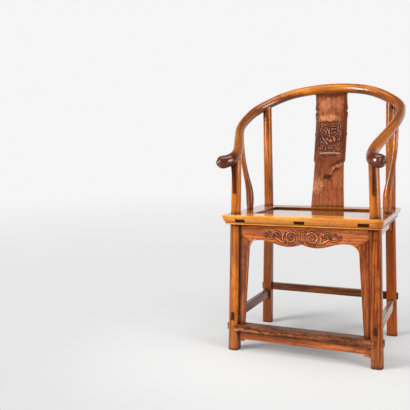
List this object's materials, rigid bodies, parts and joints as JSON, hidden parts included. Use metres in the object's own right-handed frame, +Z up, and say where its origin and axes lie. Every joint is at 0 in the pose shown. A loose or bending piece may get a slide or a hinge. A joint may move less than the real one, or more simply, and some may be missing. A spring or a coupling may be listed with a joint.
{
  "type": "horseshoe back armchair",
  "caption": "Horseshoe back armchair in honey-brown hardwood, with a bowed carved splat, outward-turned hands, a carved cusped front apron and stepped stretchers",
  "frame": {"origin": "On the floor, at the middle of the chair's width and of its depth from the hands to the back of the crest rail", "axes": "+Z up, the sitter faces -Y, +X is to the sitter's left and to the right of someone who looks at the front"},
  "size_m": [0.6166, 0.5514, 0.9933],
  "materials": {
    "honey_wood": "rubbed oil and wax, glossy",
    "red_brown_wood": "rubbed oil and wax, glossy",
    "apron_wood": "rubbed oil and wax, satin",
    "seat_panel_wood": "polished, very glossy",
    "unpolished_wood": "planed, unpolished",
    "end_grain": "dark end grain"
  },
  "bodies": {
    "root": {"crest_center": "honey_wood", "crest_arm_left": "honey_wood", "crest_arm_right": "honey_wood", "crest_wedge_pins": "end_grain", "back_splat": "red_brown_wood", "front_leg_left": "honey_wood", "front_leg_right": "honey_wood", "back_leg_left": "honey_wood", "back_leg_right": "honey_wood", "side_post_left": "honey_wood", "side_post_right": "honey_wood", "seat_rail_front": "honey_wood", "seat_rail_back": "honey_wood", "seat_rail_left": "honey_wood", "seat_rail_right": "honey_wood", "seat_panel": "seat_panel_wood", "seat_brace": "unpolished_wood", "front_apron": "apron_wood", "front_apron_strip_left": "apron_wood", "front_apron_strip_right": "apron_wood", "side_apron_left": "apron_wood", "side_apron_right": "apron_wood", "back_apron": "apron_wood", "foot_rail": "honey_wood", "foot_rail_apron": "apron_wood", "side_stretcher_left": "honey_wood", "side_stretcher_right": "honey_wood", "back_stretcher": "honey_wood", "hand_bracket_left": "red_brown_wood", "hand_bracket_right": "red_brown_wood", "bracket_pegs": "end_grain"}
  },
  "joints": []
}
